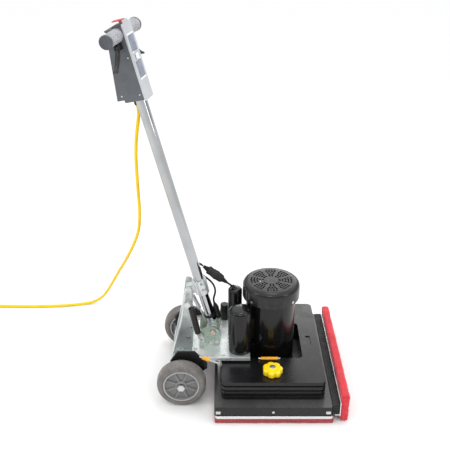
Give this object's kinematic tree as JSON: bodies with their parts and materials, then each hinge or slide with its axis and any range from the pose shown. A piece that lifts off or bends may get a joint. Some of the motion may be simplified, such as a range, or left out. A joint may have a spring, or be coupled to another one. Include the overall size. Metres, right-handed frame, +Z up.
{
  "type": "orbital floor machine",
  "caption": "Walk-behind orbital floor machine with a rectangular red pad, stacked weights, upright motor, rear wheels, tilting handle, trigger head and coiled cord.",
  "frame": {"origin": "on the floor under the motor shaft, at the middle of the pad driver's orbit", "axes": "+X towards the front of the machine, away from the operator; +Y to the operator's left; +Z up"},
  "size_m": [1.521, 0.6632, 1.136],
  "materials": {
    "floor_pad": "open non-woven scouring fibre",
    "driver_plate": "machined",
    "driver_bearing": "ground",
    "crank_shaft": "ground",
    "rotor": "laminated",
    "cooling_fan": "moulded",
    "deck": "semi-gloss powder coat",
    "deck_isolators": "moulded",
    "skirt_screws": "zinc plated",
    "front_bracket": "extruded",
    "front_bumper": "moulded",
    "front_pad": "open non-woven scouring fibre",
    "weight_plates": "satin black paint",
    "top_weight_plate": "satin black paint",
    "weight_rods": "zinc plated",
    "weight_bar_sleeve": "dipped vinyl",
    "right_knob": "moulded",
    "left_knob": "moulded",
    "motor_housing": "gloss black",
    "motor_end_bells": "gloss black",
    "stator": "lacquered copper windings",
    "fan_cover": "gloss black",
    "capacitor_covers": "gloss black",
    "capacitors": "can",
    "breaker_housing": "moulded",
    "trolley_plate": "zinc plated sheet",
    "side_plates": "black powder coat",
    "uprights": "zinc plated sheet",
    "sector_plates": "yellow-green zinc passivate",
    "pivot_pin": "zinc plated",
    "axle": "zinc plated",
    "right_tyre": "non-marking grey rubber",
    "right_hub": "moulded nylon",
    "left_tyre": "non-marking grey rubber",
    "left_hub": "moulded nylon",
    "lock_pin": "zinc plated",
    "trolley_latch": "zinc plated",
    "latch_sleeve": "dipped vinyl",
    "release_lever": "zinc plated",
    "lever_grip": "dipped grip",
    "handle_yoke": "zinc plated casting",
    "handle_tube": "bright chrome",
    "tube_collar": "zinc plated casting",
    "cable_boot": "moulded",
    "lead_loop": "moulded",
    "lead_connectors": "moulded",
    "head_shell": "textured moulding",
    "head_cover": "fine textured moulding",
    "label_panels": "blank film label",
    "head_grips": "speckled foam with dark caps",
    "grip_frame": "moulded",
    "power_switch": "moulded",
    "right_trigger": "moulded",
    "left_trigger": "moulded",
    "lockout_paddle": "moulded",
    "cord_gland": "moulded",
    "cord_drop": "smooth jacket",
    "cord_floor": "smooth jacket",
    "cord_coil": "smooth jacket",
    "cord_plug": "moulded"
  },
  "bodies": {
    "frame": {"deck": "deck", "deck_isolators": "deck_isolators", "skirt_screws": "skirt_screws", "front_bracket": "front_bracket", "front_bumper": "front_bumper", "front_pad": "front_pad", "weight_plates": "weight_plates", "top_weight_plate": "top_weight_plate", "weight_rods": "weight_rods", "weight_bar_sleeve": "weight_bar_sleeve", "motor_housing": "motor_housing", "motor_end_bells": "motor_end_bells", "stator": "stator", "fan_cover": "fan_cover", "capacitor_covers": "capacitor_covers", "capacitors": "capacitors", "breaker_housing": "breaker_housing", "trolley_plate": "trolley_plate", "side_plates": "side_plates", "uprights": "uprights", "sector_plates": "sector_plates", "pivot_pin": "pivot_pin", "axle": "axle", "lead_connectors": "lead_connectors", "cord_floor": "cord_floor", "cord_coil": "cord_coil", "cord_plug": "cord_plug"},
    "crank": {"crank_shaft": "crank_shaft", "rotor": "rotor", "cooling_fan": "cooling_fan"},
    "driver": {"driver_plate": "driver_plate", "driver_bearing": "driver_bearing", "floor_pad": "floor_pad"},
    "right_wheel": {"right_tyre": "right_tyre", "right_hub": "right_hub"},
    "left_wheel": {"left_tyre": "left_tyre", "left_hub": "left_hub"},
    "handle": {"handle_yoke": "handle_yoke", "handle_tube": "handle_tube", "tube_collar": "tube_collar", "cable_boot": "cable_boot", "lead_loop": "lead_loop", "head_shell": "head_shell", "head_cover": "head_cover", "label_panels": "label_panels", "head_grips": "head_grips", "grip_frame": "grip_frame", "power_switch": "power_switch", "cord_gland": "cord_gland", "cord_drop": "cord_drop"},
    "lever": {"release_lever": "release_lever", "lever_grip": "lever_grip"},
    "lock": {"lock_pin": "lock_pin"},
    "latch": {"trolley_latch": "trolley_latch", "latch_sleeve": "latch_sleeve"},
    "right_knob": {"right_knob": "right_knob"},
    "left_knob": {"left_knob": "left_knob"},
    "right_trigger": {"right_trigger": "right_trigger"},
    "left_trigger": {"left_trigger": "left_trigger"},
    "paddle": {"lockout_paddle": "lockout_paddle"}
  },
  "joints": [
    {"name": "crank_spin", "type": "hinge", "parent": "frame", "child": "crank", "pos_m": [0, 0, 0.15], "axis": [0, 0, 1], "continuous": true},
    {"name": "driver_orbit", "type": "hinge", "parent": "crank", "child": "driver", "pos_m": [0.003, 0, 0.034], "axis": [0, 0, 1], "continuous": true},
    {"name": "right_wheel_spin", "type": "hinge", "parent": "frame", "child": "right_wheel", "pos_m": [-0.277, -0.1555, 0.075], "axis": [0, 1, 0], "continuous": true},
    {"name": "left_wheel_spin", "type": "hinge", "parent": "frame", "child": "left_wheel", "pos_m": [-0.277, 0.1555, 0.075], "axis": [0, 1, 0], "continuous": true},
    {"name": "handle_tilt", "type": "hinge", "parent": "frame", "child": "handle", "pos_m": [-0.182, 0, 0.188], "axis": [0, -1, 0], "range_deg": [0, 50]},
    {"name": "release_lever_pull", "type": "hinge", "parent": "frame", "child": "lever", "pos_m": [-0.217, -0.0535, 0.162], "axis": [0, 1, 0], "range_deg": [0, 20], "stiffness_Nm_per_rad": 1.5, "springref_deg": -11.46},
    {"name": "lock_pin_pull", "type": "slide", "parent": "frame", "child": "lock", "axis": [0, -1, 0], "range_m": [0, 0.025], "stiffness_N_per_m": 300, "springref_m": -0.005},
    {"name": "trolley_latch_lift", "type": "hinge", "parent": "frame", "child": "latch", "pos_m": [-0.16, -0.132, 0.128], "axis": [0, 1, 0], "range_deg": [0, 40]},
    {"name": "right_knob_turn", "type": "hinge", "parent": "frame", "child": "right_knob", "pos_m": [0, -0.168, 0.1335], "axis": [0, 0, 1], "continuous": true},
    {"name": "left_knob_turn", "type": "hinge", "parent": "frame", "child": "left_knob", "pos_m": [0, 0.168, 0.1335], "axis": [0, 0, 1], "continuous": true},
    {"name": "right_trigger_squeeze", "type": "hinge", "parent": "handle", "child": "right_trigger", "pos_m": [-0.42143, -0.03395, 1.066], "axis": [-0.9254, 0.2924, -0.2411], "range_deg": [0, 35], "stiffness_Nm_per_rad": 0.5, "springref_deg": -11.46},
    {"name": "left_trigger_squeeze", "type": "hinge", "parent": "handle", "child": "left_trigger", "pos_m": [-0.40134, 0.03395, 1.07123], "axis": [0.9254, -0.2924, 0.2411], "range_deg": [0, 35], "stiffness_Nm_per_rad": 0.5, "springref_deg": -11.46},
    {"name": "lockout_paddle_press", "type": "hinge", "parent": "handle", "child": "paddle", "pos_m": [-0.40867, -0.00556, 1.13029], "axis": [-0.2829, -0.9563, -0.0737], "range_deg": [0, 12], "stiffness_Nm_per_rad": 0.08, "springref_deg": -11.46}
  ],
  "couplings": [
    {"joint": "driver_orbit", "follows": "crank_spin", "ratio": -1}
  ]
}
